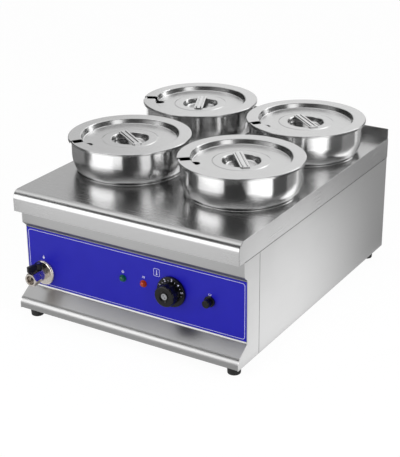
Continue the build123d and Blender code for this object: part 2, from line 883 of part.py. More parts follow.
def make_knob():
    """Lobed knob with a wide skirt, hollow at the back."""
    rear = panel_face - knob_gap
    skirt_front = rear - knob_skirt
    grip_front = panel_face - knob_length
    knob = bar_along_y(dial_x, control_height, (skirt_front, rear), knob_skirt_radius)
    knob = fillet(knob.edges().sort_by(Axis.Y)[0], knob_skirt_round)
    length = skirt_front - grip_front
    grip = Cone(knob_grip_radius, knob_grip_front_radius, length)
    grip = fillet(grip.edges().sort_by(Axis.Z)[-1], knob_round)
    reach = knob_grip_radius + knob_scallop_radius - knob_scallop_depth
    for lobe in range(knob_lobes):
        scallop = Pos(reach, 0, 0) * Cylinder(knob_scallop_radius, length)
        grip -= Rot(0, 0, lobe * 360 / knob_lobes) * scallop
    knob += Pos(dial_x, (skirt_front + grip_front) / 2, control_height) * Rot(90, 0, 0) * grip
    hollow = (rear - knob_hollow, rear)
    ring = bar_along_y(dial_x, control_height, hollow, knob_hollow_radius)
    knob -= ring - bar_along_y(dial_x, control_height, hollow, knob_hub_radius)
    bore = (rear - spindle_grip, rear)
    knob -= bar_along_y(dial_x, control_height, bore, spindle_radius)
    recess = Rot(90, 0, 0) * Cone(knob_recess_floor, knob_recess_radius, knob_recess)
    return knob - Pos(dial_x, grip_front + knob_recess / 2, control_height) * recess


def make_knob_insert():
    """Metal disc in the recess of the knob, with two small holes."""
    floor = panel_face - knob_length + knob_recess
    run = (floor - insert_thickness, floor)
    disc = bar_along_y(dial_x, control_height, run, insert_radius)
    turn = radians(insert_turn)
    for side in (-1, 1):
        shift = side * insert_hole_spread / 2
        x = dial_x + shift * cos(turn)
        z = control_height + shift * sin(turn)
        disc -= bar_along_y(x, z, run, insert_hole_radius)
    return disc


def make_reset_bezel():
    """Flanged bush through the panel that guides the reset button."""
    front_face = panel_face - bezel_thickness
    bezel = bar_along_y(reset_x, control_height, (front_face, panel_face), bezel_radius)
    bezel = fillet(bezel.edges().sort_by(Axis.Y)[0], bezel_round)
    rear = panel_face + barrel_length
    bezel += bar_along_y(reset_x, control_height, (panel_face, rear), barrel_radius)
    bore = button_radius + running_gap
    return bezel - bar_along_y(reset_x, control_height, (front_face, rear), bore)


def make_reset_button():
    """Plunger that slides in the bezel."""
    rear = panel_face + barrel_length - button_travel - seat_gap
    button = bar_along_y(reset_x, control_height, (panel_face - button_reach, rear), button_radius)
    return fillet(button.edges().sort_by(Axis.Y)[0], button_round)


def make_cutout():
    """Cut-out switch screwed over the barrel of the bezel, against the fascia."""
    barrel_rear = panel_face + barrel_length
    half = cutout_width / 2
    body = block(
        (reset_x - half, reset_x + half),
        (fascia_back, fascia_back + cutout_depth),
        (control_height - half, control_height + half),
    )
    body = fillet(body.edges().filter_by(Axis.Y), thermostat_round)
    return body - bar_along_y(
        reset_x, control_height, (fascia_back, barrel_rear), barrel_radius + fit_gap
    )


def make_bulb(start_x, start_y, side):
    """Sensing bulb on its capillary, from the back of a switch into the tank."""
    x = bulb_x + side * bulb_spread / 2
    turn = (start_y + tank_wall_face) / 2
    bulb_start = tank_front + bulb_lead
    points = [
        (start_x, start_y, control_height),
        (start_x, turn, control_height),
        (x, turn, bulb_height),
        (x, bulb_start, bulb_height),
    ]
    bulb = bar_along_y(x, bulb_height, (bulb_start, bulb_start + bulb_length), bulb_radius)
    return tube(points, capillary_radius, capillary_bend) + bulb


def make_bulb_gland():
    """Fitting that takes both capillaries through the tank wall."""
    outside = tank_wall_face - bulb_gland_head
    gland = hexagon_along_y(bulb_x, bulb_height, (outside, tank_wall_face), bulb_gland_flats)
    inside = tank_front + bulb_gland_inner
    gland += bar_along_y(bulb_x, bulb_height, (tank_wall_face, inside), bulb_gland_radius)
    for side in (-1, 1):
        x = bulb_x + side * bulb_spread / 2
        bore = capillary_radius + running_gap
        gland -= bar_along_y(x, bulb_height, (outside, inside), bore)
    return gland


def make_drain_pipe():
    """Straight pipe from the tank to the tap, with a shoulder outside the tank."""
    start = tap_start + escutcheon_thickness - tap_tail_socket
    end = tank_front + drain_gasket_thickness + drain_nut
    pipe = bar_along_y(tap_x, tap_height, (start, end), drain_pipe_radius)
    shoulder = (tank_wall_face - drain_shoulder, tank_wall_face)
    pipe += bar_along_y(tap_x, tap_height, shoulder, drain_shoulder_radius)
    return pipe - bar_along_y(tap_x, tap_height, (start, end), drain_bore_radius)


def make_drain_gasket():
    """Washer between the tank wall and the locknut."""
    run = (tank_front, tank_front + drain_gasket_thickness)
    ring = bar_along_y(tap_x, tap_height, run, drain_gasket_radius)
    return ring - bar_along_y(tap_x, tap_height, run, drain_pipe_radius + fit_gap)


def make_drain_locknut():
    """Nut on the pipe inside the tank."""
    start = tank_front + drain_gasket_thickness
    run = (start, start + drain_nut)
    nut = hexagon_along_y(tap_x, tap_height, run, drain_nut_flats)
    return nut - bar_along_y(tap_x, tap_height, run, drain_pipe_radius + fit_gap)


def make_escutcheon():
    """Round cover plate where the tap meets the panel."""
    run = (tap_start, panel_face)
    disc = bar_along_y(tap_x, tap_height, run, escutcheon_radius)
    disc = fillet(disc.edges().sort_by(Axis.Y)[0], escutcheon_round)
    return disc - bar_along_y(tap_x, tap_height, run, tap_tail_radius + fit_gap)


def make_tap_body():
    """Round valve body with a tail socket for the pipe and a chamber for the ball."""
    body = bar_along_y(tap_x, tap_height, (tap_body_front, tap_start), tap_body_radius)
    body += bar_along_y(tap_x, tap_height, (tap_start, panel_face), tap_tail_radius)
    socket_floor = panel_face - tap_tail_socket
    socket = (socket_floor, panel_face)
    body -= bar_along_y(tap_x, tap_height, socket, drain_pipe_radius + fit_gap)
    chamber = (tap_body_front + tap_spigot, tap_ball_y + tap_ball_radius)
    body -= bar_along_y(tap_x, tap_height, chamber, tap_ball_radius + fit_gap)
    body -= bar_along_y(tap_x, tap_height, (chamber[1], socket_floor), tap_way_radius)
    spigot = (tap_body_front, chamber[0])
    body -= bar_along_y(tap_x, tap_height, spigot, tap_spigot_radius + fit_gap)
    stem_way = (tap_height, tap_height + tap_body_radius)
    return body - bar_along_z(tap_x, tap_ball_y, stem_way, tap_stem_radius + running_gap)


def make_tap_outlet():
    """Hexagonal outlet end with a threaded mouth and rounded front corners."""
    run = (tap_front, tap_body_front)
    outlet = hexagon_along_y(tap_x, tap_height, run, tap_outlet_flats)
    corner_radius = tap_outlet_flats / 2 / cos(radians(30))
    rounded = bar_along_y(tap_x, tap_height, run, corner_radius)
    outlet &= chamfer(rounded.edges().sort_by(Axis.Y)[0], corner_radius - tap_outlet_flats / 2)
    spigot_rear = tap_body_front + tap_spigot
    outlet += bar_along_y(tap_x, tap_height, (tap_body_front, spigot_rear), tap_spigot_radius)
    outlet -= bar_along_y(tap_x, tap_height, (tap_front, spigot_rear), tap_way_radius)
    thread = (tap_front, tap_front + tap_thread_depth)
    return outlet - bar_along_y(tap_x, tap_height, thread, tap_thread_radius)


def make_tap_seats():
    """Two rings that seal the ball in its chamber."""
    seats = []
    ball = Pos(tap_x, tap_ball_y, tap_height) * Sphere(tap_ball_radius + running_gap)
    ends = (tap_body_front + tap_spigot, tap_ball_y + tap_ball_radius)
    for run in ((ends[0], ends[0] + tap_seat), (ends[1] - tap_seat, ends[1])):
        ring = bar_along_y(tap_x, tap_height, run, tap_ball_radius + fit_gap)
        seats.append(ring - bar_along_y(tap_x, tap_height, run, tap_way_radius) - ball)
    return Compound(seats)


def about_stem(solid):
    """Solid modelled in line with the outlet, turned about the tap's stem to the lever's rest."""
    stem = Pos(tap_x, tap_ball_y, tap_height)
    return stem * Rot(0, 0, -tap_lever_turn) * solid


def make_tap_ball():
    """Drilled ball with its stem."""
    ball = Sphere(tap_ball_radius) - bar_along_y(
        0, 0, (-tap_ball_radius, tap_ball_radius), tap_way_radius
    )
    stem = (tap_ball_radius - tap_stem_root, tap_lever_top - tap_height - lever_screw_length)
    return about_stem(ball + bar_along_z(0, 0, stem, tap_stem_radius))


def make_tap_lever():
    """Black fin on a round hub, bored for the stem and its screw."""
    z = (tap_lever_bottom - tap_height, tap_lever_top - tap_height)
    half = tap_lever_thickness / 2
    fin = block((-half, half), (-tap_lever_length, 0), z)
    fin = fillet(fin.faces().sort_by(Axis.Y)[0].edges(), tap_lever_round)
    hub = bar_along_z(0, 0, z, tap_hub_radius)
    hub = fillet(hub.edges().sort_by(Axis.Z)[-1], tap_lever_round)
    lever = hub + fin
    stem_top = z[1] - lever_screw_length
    lever -= bar_along_z(0, 0, (z[0], stem_top), tap_stem_radius)
    lever -= bar_along_z(0, 0, (stem_top, z[1]), lever_screw_radius + fit_gap)
    head = (z[1] - lever_screw_head, z[1])
    return about_stem(lever - bar_along_z(0, 0, head, lever_screw_head_radius + fit_gap))


def make_lever_screw():
    """Screw that holds the lever on its stem."""
    top = tap_lever_top - tap_height
    screw = bar_along_z(0, 0, (top - lever_screw_length, top), lever_screw_radius)
    head = bar_along_z(0, 0, (top - lever_screw_head, top), lever_screw_head_radius)
    slot = block(
        (-lever_screw_head_radius, lever_screw_head_radius),
        (-lever_slot_width / 2, lever_slot_width / 2),
        (top - lever_slot_depth, top),
    )
    return about_stem(screw + head - slot)


def make_gland_body():
    """Threaded barrel through the rear panel with a hexagon outside."""
    run = (rear_inner - gland_thread, rear_face)
    body = bar_along_y(gland_x, gland_height, run, gland_barrel_radius)
    body += hexagon_along_y(gland_x, gland_height, (rear_face, rear_face + gland_hex), gland_flats)
    bore = (run[0], rear_face + gland_hex)
    return body - bar_along_y(gland_x, gland_height, bore, gland_bore_radius)


def make_gland_cap():
    """Domed cap of the gland, bored for the supply lead."""
    start = rear_face + gland_hex
    run = (start, start + gland_cap)
    cap = bar_along_y(gland_x, gland_height, run, gland_cap_radius)
    cap = fillet(cap.edges().sort_by(Axis.Y)[-1], gland_cap_round)
    return cap - bar_along_y(gland_x, gland_height, run, gland_mouth_radius)


def make_gland_nut():
    """Locknut of the gland inside the casing."""
    run = (rear_inner - gland_nut, rear_inner)
    nut = hexagon_along_y(gland_x, gland_height, run, gland_nut_flats)
    return nut - bar_along_y(gland_x, gland_height, run, gland_barrel_radius + fit_gap)


def make_earth_stud():
    """Bonding stud on the rear panel: hexagon inside, thread outside."""
    run = (rear_inner - earth_nut, rear_face + earth_length)
    stud = bar_along_y(earth_x, gland_height, run, earth_radius)
    inside = (rear_inner - earth_nut, rear_inner)
    stud += hexagon_along_y(earth_x, gland_height, inside, earth_flats)
    outside = (rear_face, rear_face + earth_nut)
    return stud + hexagon_along_y(earth_x, gland_height, outside, earth_flats)


def block_way_x(way):
    """Middle of one way of the terminal block."""
    return block_x + (way - (block_ways - 1) / 2) * block_way_pitch


def make_terminal_block():
    """Supply terminals on the base panel, with a screw well for each way."""
    y = (fascia_back + tank_wall_face) / 2
    top = base_top + block_tall
    body = block(
        (block_x - block_width / 2, block_x + block_width / 2),
        (y - block_depth / 2, y + block_depth / 2),
        (base_top, top),
    )
    body = fillet(body.edges().filter_by(Axis.Z), thermostat_round)
    for way in range(block_ways):
        for side in (-1, 1):
            well_y = y + side * block_depth / 4
            well = (top - block_well, top)
            body -= bar_along_z(block_way_x(way), well_y, well, block_well_radius)
    return body


def make_wiring():
    """Leads from the gland under the tank to the terminal block, and on to the switches and element."""
    bay = (fascia_back + tank_wall_face) / 2
    ways = [block_way_x(way) for way in range(block_ways)]
    block_rear = bay + block_depth / 2
    block_front = bay - block_depth / 2
    routes = []
    for way, way_x in enumerate(ways):
        x = gland_x + (way - (block_ways - 1) / 2) * wire_pitch
        lane = block_rear + (way + 1) * wire_lane
        start = (x, rear_inner - gland_thread, gland_height)
        turns = [(x, lane, gland_height), (way_x, lane, gland_height)]
        routes.append([start] + turns + [(way_x, block_rear, gland_height)])
    switches = [
        (dial_x, wire_high, control_height - thermostat_tall / 2),
        (reset_x, wire_low, control_height - cutout_width / 2),
    ]
    for way_x, (x, lift, end) in zip(ways, switches):
        y = block_front - wire_front
        z = base_top + lift
        routes.append([(way_x, block_front, z), (way_x, y, z), (x, y, z), (x, y, end)])
    pin_end = tank_wall_face - element_thread - element_pin
    last = ways[-1]
    pin_x = element_terminal_x
    routes.append([(last, bay, base_top + block_tall), (last, bay, element_height),
                   (-pin_x, bay, element_height), (-pin_x, pin_end, element_height)])
    link_x = dial_x - link_shift
    link_y = fascia_back + thermostat_depth / 2
    routes.append([(link_x, link_y, control_height - thermostat_tall / 2),
                   (link_x, link_y, element_height), (pin_x, link_y, element_height),
                   (pin_x, pin_end, element_height)])
    return Compound([tube(route, wire_radius, wire_bend) for route in routes])


def make_feet():
    """Four tapered rubber feet, each with a well for its screw."""
    feet = []
    foot = Cone(foot_tread_radius, foot_top_radius, foot_height)
    foot = fillet(foot.edges().sort_by(Axis.Z)[0], foot_round)
    for x, y in foot_places:
        solid = Pos(x, y, foot_height / 2) * foot
        solid -= bar_along_z(x, y, (0, foot_well_depth), foot_well_radius)
        shank = (foot_well_depth, foot_height)
        feet.append(solid - bar_along_z(x, y, shank, foot_screw_radius + fit_gap))
    return Compound(feet)


def make_foot_screws():
    """Screws that hold the feet, up into the bosses of the base panel."""
    screws = []
    for x, y in foot_places:
        shank = (foot_well_depth, base_top + foot_boss_height)
        screw = bar_along_z(x, y, shank, foot_screw_radius)
        head = (foot_well_depth - foot_screw_head, foot_well_depth)
        screws.append(screw + bar_along_z(x, y, head, foot_screw_head_radius))
    return Compound(screws)


def make_casing_screws():
    """Screws through the rear panel into the folds of the side panels."""
    screws = []
    for x, z in casing_screw_places:
        shank = (rear_face - casing_screw_length, rear_face)
        screw = bar_along_y(x, z, shank, casing_screw_radius)
        head = bar_along_y(x, z, (rear_face, rear_face + casing_screw_head), casing_screw_head_radius)
        head = fillet(head.edges().sort_by(Axis.Y)[-1], casing_screw_head / 2)
        screws.append(screw + head)
    return Compound(screws)


right_cheek = make_end_cheek()
right_side = make_side_panel()
thermostat_rear = fascia_back + thermostat_depth
cutout_rear = fascia_back + cutout_depth

pieces = {
    "worktop": make_worktop(),
    "water_tank": make_tank(),
    "front_fascia": make_fascia(),
    "control_panel": make_control_panel(),
    "right_end_cheek": right_cheek,
    "left_end_cheek": mirror(right_cheek, Plane.YZ),
    "right_side_panel": right_side,
    "left_side_panel": mirror(right_side, Plane.YZ),
    "rear_panel": make_rear_panel(),
    "base_panel": make_base_panel(),
    "heating_element": make_element(),
    "element_nuts": make_element_nuts(),
    "element_saddles": make_element_saddles(),
    "power_lamp_lens": make_lamp_lens(power_lamp_x),
    "heat_lamp_lens": make_lamp_lens(heat_lamp_x),
    "lamp_bodies": make_lamp_bodies(),
    "thermostat_body": make_thermostat(),
    "thermostat_screws": make_thermostat_screws(),
    "thermostat_bulb": make_bulb(dial_x, thermostat_rear, -1),
    "thermostat_spindle": make_spindle(),
    "knob": make_knob(),
    "knob_insert": make_knob_insert(),
    "reset_bezel": make_reset_bezel(),
    "reset_button": make_reset_button(),
    "cutout_body": make_cutout(),
    "cutout_bulb": make_bulb(reset_x, cutout_rear, 1),
    "bulb_gland": make_bulb_gland(),
    "drain_pipe": make_drain_pipe(),
    "drain_gasket": make_drain_gasket(),
    "drain_locknut": make_drain_locknut(),
    "tap_escutcheon": make_escutcheon(),
    "tap_body": make_tap_body(),
    "tap_outlet": make_tap_outlet(),
    "tap_seats": make_tap_seats(),
    "tap_ball": make_tap_ball(),
    "tap_lever": make_tap_lever(),
    "tap_lever_screw": make_lever_screw(),
    "gland_body": make_gland_body(),
    "gland_cap": make_gland_cap(),
    "gland_nut": make_gland_nut(),
    "terminal_block": make_terminal_block(),
    "earth_stud": make_earth_stud(),
    "wiring": make_wiring(),
    "rubber_feet": make_feet(),
    "foot_screws": make_foot_screws(),
    "casing_screws": make_casing_screws(),
}

pot = make_pot()
lid = make_lid()
lid_handle = make_lid_handle()
for place, (_, _, turn) in pot_places.items():
    centre = Pos(*pot_centre(place), 0)
    pieces[f"pot_{place}"] = centre * pot
    pieces[f"lid_{place}"] = centre * Rot(0, 0, turn) * lid
    pieces[f"lid_handle_{place}"] = centre * Rot(0, 0, turn) * lid_handle

os.makedirs("parts", exist_ok=True)
for name, solid in pieces.items():
    export_step(solid, f"parts/{name}.step")
print(len(pieces), "pieces")
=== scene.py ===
# %% [markdown]
# # A countertop bain marie
# Four round pots hang in a stainless worktop over a tank of hot water. The solid model of every
# piece is loaded first. This lesson then gives each piece its finish, prints the front panel and the
# dial, and sets up a plain white studio around the appliance.

# %% Load the frame
import math
import bmesh
import bpy
from mathutils import Matrix, Vector


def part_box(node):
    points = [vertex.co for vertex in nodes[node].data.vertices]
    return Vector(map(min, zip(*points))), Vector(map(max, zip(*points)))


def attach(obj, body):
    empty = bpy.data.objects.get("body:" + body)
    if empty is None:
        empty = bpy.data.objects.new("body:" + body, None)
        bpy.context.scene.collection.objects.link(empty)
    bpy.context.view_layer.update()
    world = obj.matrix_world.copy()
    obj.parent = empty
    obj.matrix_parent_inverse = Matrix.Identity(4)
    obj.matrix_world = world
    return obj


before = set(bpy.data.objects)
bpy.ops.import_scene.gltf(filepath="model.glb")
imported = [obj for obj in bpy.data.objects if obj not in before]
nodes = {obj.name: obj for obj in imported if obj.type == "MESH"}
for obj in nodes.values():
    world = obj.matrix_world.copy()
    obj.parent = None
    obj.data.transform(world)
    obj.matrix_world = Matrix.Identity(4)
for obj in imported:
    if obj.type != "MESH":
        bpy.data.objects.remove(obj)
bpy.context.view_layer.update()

scene = bpy.context.scene

# %% [markdown]
# The photograph is a three-quarter view from the right, a little above the lids, taken with a long
# lens. A camera can be aimed by eye, but here its place was worked out from straight edges of the
# appliance and from the rims of the lids, so it is written as a point, a heading, a tilt and a slight
# roll.

# %% Camera
image_height_px = 457
focal_px = 1185.9
sensor_mm = 36.0
camera_place = Vector((0.9311, -1.5479, 0.8830))
heading, tilt, roll = (math.radians(a) for a in (-31.659, 23.47, -0.532))
level = Vector((math.cos(heading), -math.sin(heading), 0))
ahead = Vector((math.sin(heading) * math.cos(tilt), math.cos(heading) * math.cos(tilt), -math.sin(tilt)))
upright = level.cross(ahead)
across = level * math.cos(roll) + upright * math.sin(roll)
above = upright * math.cos(roll) - level * math.sin(roll)
lens = bpy.data.cameras.new("camera")
lens.sensor_fit = "VERTICAL"
lens.sensor_height = sensor_mm
lens.lens = focal_px / image_height_px * sensor_mm
lens.clip_end = 50
camera = bpy.data.objects.new("camera", lens)
turned = Matrix((across, above, -ahead)).transposed().to_4x4()
camera.matrix_world = Matrix.Translation(camera_place) @ turned
scene.collection.objects.link(camera)
scene.camera = camera
print("lens", round(lens.lens, 1), "mm")

# %% [markdown]
# Colours are easiest to pick as sRGB hex values, but shaders work in linear light, so one function
# turns the first into the second. A second function adds a shader node with its settings and its
# links, and a third starts a material, so that each finish below takes only a few lines. The Mix node
# has a pair of inputs for numbers (2 and 3), one for vectors (4 and 5) and one for colours (6 and 7).
# The names in each pair are the same, so they are called by their places.

# %% Colour and node helpers
def linear(hex_colour):
    """Linear red, green, blue and alpha of an sRGB hex value."""
    channels = [int(hex_colour[i:i + 2], 16) / 255 for i in (1, 3, 5)]
    return tuple(c / 12.92 if c <= 0.04045 else ((c + 0.055) / 1.055) ** 2.4 for c in channels) + (1.0,)


def add(tree, kind, settings=None, links=None):
    """New shader node, with its own settings, the values of its inputs and the links into it."""
    node = tree.nodes.new(kind)
    for name, value in (settings or {}).items():
        if isinstance(name, str) and hasattr(node, name):
            setattr(node, name, value)
        else:
            node.inputs[name].default_value = value
    for name, socket in (links or {}).items():
        tree.links.new(socket, node.inputs[name])
    return node


def start_finish(name, colour, **sockets):
    """New material, with its tree, its shader and the place of each point in metres."""
    material = bpy.data.materials.new(name)
    material.use_nodes = True
    tree = material.node_tree
    shader = tree.nodes["Principled BSDF"]
    shader.inputs["Base Color"].default_value = linear(colour)
    for socket, value in sockets.items():
        shader.inputs[socket.replace("_", " ")].default_value = value
    place = add(tree, "ShaderNodeTexCoord").outputs["Object"]
    return material, tree, shader, place


print("mid grey is", round(linear("#bcbcbc")[0], 3), "in linear light")

# %% [markdown]
# Stainless sheet is brushed in one direction at the mill, and handling leaves faint cloudy patches on
# it. The real grain is about 0.1 mm wide, too fine to show here, so it is drawn 0.8 mm wide and 60 mm
# long. A noise stretched along the grain tilts the surface across it, which smears reflections the way
# a brushed sheet does. Faces that look sideways have their grain along the depth and all others have
# it across the width. A face that looks down can be given painted shade: a duller, darker tone that
# stands for the shade in the fold under the front band. The joints of the casing are real gaps of
# 0.6 mm, which show only faintly at this size. The finish paints shade on the sheet for about 1 mm
# beside them, under the skirt and behind the end cheeks, so that they read as dark lines.

# %% Brushed stainless steel
grain_width = 0.0008
grain_length = 0.06
grain_depth = 0.00001
grain_tilt = 0.6   # strength of the bump
cloud_size = 0.07
cloud_change = 0.02   # how far a cloud shifts the roughness
cloud_span = (0.3, 0.7)   # most values of a soft noise lie between these
sideways_from = 0.7   # how far a face has to look along X to count as a side
painted_under_shade_span = (-0.5, -0.2)   # from faces that look well down to those that hardly do
painted_under_shade_gloss = 0.1   # how metallic the painted shade still looks
# Where each joint lies and how far its painted shade reaches to either side, drawn wider than the real gap
joints = {"Z": (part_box("worktop")[0][2], 0.0016), "Y": (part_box("right_side_panel")[0][1], 0.0005)}


def brushed_steel(name, colour, rough, painted_under_shade=None, painted_joint_shade=None):
    """Sheet with a straight grain; rough is the span of its roughness."""
    material, tree, shader, place = start_finish(name, colour, Metallic=1.0)
    fine, long = 1 / grain_width, 1 / grain_length
    across_grain = add(tree, "ShaderNodeMapping", {"Scale": (long, fine, fine)}, {"Vector": place})
    along_grain = add(tree, "ShaderNodeMapping", {"Scale": (fine, long, fine)}, {"Vector": place})
    facing = add(tree, "ShaderNodeNewGeometry").outputs["Normal"]
    sideways = add(tree, "ShaderNodeVectorMath", {"operation": "ABSOLUTE"}, {0: facing}).outputs[0]
    sideways = add(tree, "ShaderNodeSeparateXYZ", {}, {0: sideways}).outputs["X"]
    is_side = add(tree, "ShaderNodeMath", {"operation": "GREATER_THAN", 1: sideways_from}, {0: sideways})
    grain_place = add(tree, "ShaderNodeMix", {"data_type": "VECTOR"}, {
        "Factor": is_side.outputs[0], 4: across_grain.outputs[0], 5: along_grain.outputs[0]}).outputs[1]
    grain = add(tree, "ShaderNodeTexNoise", {"Scale": 1.0, "Detail": 3.0}, {"Vector": grain_place})
    clouds = add(tree, "ShaderNodeTexNoise", {"Scale": 1 / cloud_size, "Detail": 4.0}, {"Vector": place})
    fine_wear = add(tree, "ShaderNodeMapRange", {"To Min": rough[0], "To Max": rough[1]},
                    {"Value": grain.outputs["Fac"]})
    slow_wear = add(tree, "ShaderNodeMapRange", {
        "From Min": cloud_span[0], "From Max": cloud_span[1],
        "To Min": -cloud_change, "To Max": cloud_change}, {"Value": clouds.outputs["Fac"]})
    wear = add(tree, "ShaderNodeMath", {"operation": "ADD"},
               {0: fine_wear.outputs[0], 1: slow_wear.outputs[0]})
    tree.links.new(wear.outputs[0], shader.inputs["Roughness"])
    bump = add(tree, "ShaderNodeBump", {"Strength": grain_tilt, "Distance": grain_depth},
               {"Height": grain.outputs["Fac"]})
    tree.links.new(bump.outputs["Normal"], shader.inputs["Normal"])
    # Painted shade: faces that look down get a darker, duller tone
    if painted_under_shade:
        height = add(tree, "ShaderNodeSeparateXYZ", {}, {0: facing}).outputs["Z"]
        bright = add(tree, "ShaderNodeMapRange", {
            "From Min": painted_under_shade_span[0], "From Max": painted_under_shade_span[1], "To Min": painted_under_shade_gloss},
            {"Value": height}).outputs[0]
        tone = add(tree, "ShaderNodeMix", {"data_type": "RGBA", 6: linear(painted_under_shade), 7: linear(colour)},
                   {"Factor": bright})
        tree.links.new(tone.outputs[2], shader.inputs["Base Color"])
        tree.links.new(bright, shader.inputs["Metallic"])
    # Painted shade: a dark line beside the joints under the skirt and behind the end cheeks
    if painted_joint_shade:
        spot = add(tree, "ShaderNodeSeparateXYZ", {}, {0: place}).outputs
        lines = [add(tree, "ShaderNodeMath", {"operation": "COMPARE", 1: middle, 2: reach}, {0: spot[axis]})
                 for axis, (middle, reach) in joints.items()]
        either = add(tree, "ShaderNodeMath", {"operation": "MAXIMUM"},
                     {0: lines[0].outputs[0], 1: lines[1].outputs[0]})
        tone = add(tree, "ShaderNodeMix", {"data_type": "RGBA", 6: linear(colour), 7: linear(painted_joint_shade)},
                   {"Factor": either.outputs[0]})
        tree.links.new(tone.outputs[2], shader.inputs["Base Color"])
    return material


worktop_steel = brushed_steel("stainless steel sheet, finely brushed", "#b4b4b4", (0.20, 0.30))
# The fascia carries painted shade on its faces that look down
fascia_steel = brushed_steel("stainless steel sheet, brushed and folded", "#aaaaaa", (0.31, 0.39),
                             painted_under_shade="#4e4e4c")
# The casing carries painted shade along its joints
casing_steel = brushed_steel("stainless steel sheet, brushed", "#c0c0c0", (0.26, 0.38),
                             painted_joint_shade="#383838")
tank_steel = brushed_steel("stainless steel sheet, mill finish", "#9c9c9a", (0.32, 0.46))
print(worktop_steel.name, "|", casing_steel.name, "|", tank_steel.name)

# %% [markdown]
# The pots are spun over a former and polished while they turn, so they are nearly mirrors. The fine
# rings left by the polishing run round the pot: they tilt the surface up and down only, so upright
# edges stay sharp in the reflections while everything is drawn out in height. The lids are pressed
# from satin sheet, polished in circles. All four share one finish, because the distance from a lid's
# middle can be worked out after the four quarters of the worktop are folded onto one.

# %% Polished pots and satin lids
ring_width = 0.0007   # the real rings are finer, but these still show
ring_drift = 0.25   # over this length round the pot a ring changes
ring_depth = 0.00001
ring_tilt = 0.6   # strength of the bump
corner_pots = [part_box("pot_back_left"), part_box("pot_front_right")]
middles = [[(low + high) / 2 for low, high in zip(*box)] for box in corner_pots]
fold = [(a + b) / 2 for a, b in zip(*middles)]
spread = [abs(a - b) / 2 for a, b in zip(*middles)]


def turned_steel(name, colour, rough, radial, **sockets):
    """Steel with polishing rings, one above the other or, when radial, one inside the other."""
    material, tree, shader, place = start_finish(name, colour, Metallic=1.0, **sockets)
    if radial:
        offset = add(tree, "ShaderNodeVectorMath", {"operation": "SUBTRACT", 1: fold[:2] + [0]}, {0: place})
        folded = add(tree, "ShaderNodeVectorMath", {"operation": "ABSOLUTE"}, {0: offset.outputs[0]})
        off_middle = add(tree, "ShaderNodeVectorMath", {"operation": "SUBTRACT", 1: spread[:2] + [0]},
                         {0: folded.outputs[0]})
        flat = add(tree, "ShaderNodeVectorMath", {"operation": "MULTIPLY", 1: (1, 1, 0)},
                   {0: off_middle.outputs[0]})
        radius = add(tree, "ShaderNodeVectorMath", {"operation": "LENGTH"}, {0: flat.outputs[0]})
        scaled = add(tree, "ShaderNodeMath", {"operation": "MULTIPLY", 1: 1 / ring_width},
                     {0: radius.outputs["Value"]})
        rings = add(tree, "ShaderNodeCombineXYZ", {}, {"Z": scaled.outputs[0]}).outputs[0]
    else:
        rings = add(tree, "ShaderNodeMapping", {"Scale": (1 / ring_drift, 1 / ring_drift, 1 / ring_width)},
                    {"Vector": place}).outputs[0]
        upward = add(tree, "ShaderNodeCombineXYZ", {"Z": 1.0}).outputs[0]
        tree.links.new(upward, shader.inputs["Tangent"])
    grain = add(tree, "ShaderNodeTexNoise", {"Scale": 1.0, "Detail": 2.0}, {"Vector": rings}).outputs["Fac"]
    wear = add(tree, "ShaderNodeMapRange", {"To Min": rough[0], "To Max": rough[1]}, {"Value": grain})
    tree.links.new(wear.outputs["Result"], shader.inputs["Roughness"])
    bump = add(tree, "ShaderNodeBump", {"Strength": ring_tilt, "Distance": ring_depth}, {"Height": grain})
    tree.links.new(bump.outputs["Normal"], shader.inputs["Normal"])
    return material


pot_steel = turned_steel("stainless steel, spun and polished", "#e8e8e8", (0.15, 0.22), False,
                         Anisotropic=0.75)
lid_steel = turned_steel("stainless steel, pressed and satin", "#c6c6c6", (0.18, 0.28), True)
strap_steel = brushed_steel("stainless steel strap, tumbled", "#d4d4d4", (0.16, 0.26))
print(pot_steel.name, "|", lid_steel.name, "| lids folded about", [round(v, 4) for v in fold[:2]])

# %% [markdown]
# Moulded, cast, plated and painted pieces share one way of working: two sizes of noise give a skin
# that is not quite flat and not quite even in gloss. What differs is the colour, the size of the
# grain and how deep it is, so one function makes them all. Enamel has a slow ripple like orange peel,
# moulded plastic a fine stipple, and plated metal small pits.

# %% Moulded, painted and plated finishes
patch_per_grain = 10   # a patch is this many times as wide as the grain
gloss_span = (0.7, 1.3)   # most sums of two soft noises lie between these
skin_tilt = 0.5   # strength of the bump


def grained(name, colour, rough, grain, depth, shade, **sockets):
    """Skin with a grain of a width and depth in metres, and patches that differ by a shade."""
    material, tree, shader, place = start_finish(name, colour, **sockets)
    noise = add(tree, "ShaderNodeTexNoise", {"Scale": 1 / grain, "Detail": 2.0}, {"Vector": place})
    patch = add(tree, "ShaderNodeTexNoise", {"Scale": 1 / (patch_per_grain * grain), "Detail": 3.0},
                {"Vector": place})
    both = add(tree, "ShaderNodeMath", {"operation": "ADD"},
               {0: noise.outputs["Fac"], 1: patch.outputs["Fac"]})
    gloss = add(tree, "ShaderNodeMapRange", {
        "From Min": gloss_span[0], "From Max": gloss_span[1], "To Min": rough[0], "To Max": rough[1]},
        {"Value": both.outputs[0]})
    tree.links.new(gloss.outputs["Result"], shader.inputs["Roughness"])
    tones = [[c * (1 + side * shade) for c in linear(colour)[:3]] + [1] for side in (-1, 1)]
    mixed = add(tree, "ShaderNodeMix", {"data_type": "RGBA", 6: tones[0], 7: tones[1]},
                {"Factor": patch.outputs["Fac"]})
    tree.links.new(mixed.outputs[2], shader.inputs["Base Color"])
    bump = add(tree, "ShaderNodeBump", {"Strength": skin_tilt, "Distance": depth},
               {"Height": noise.outputs["Fac"]})
    tree.links.new(bump.outputs["Normal"], shader.inputs["Normal"])
    return material


# Stoved enamel on steel: deep blue, half gloss, a ripple of about 2 mm
blue_enamel = grained("blue stoved enamel", "#1916b0", (0.30, 0.40), 0.002, 0.000006, 0.06,
                      IOR=1.52, Specular_IOR_Level=0.25)
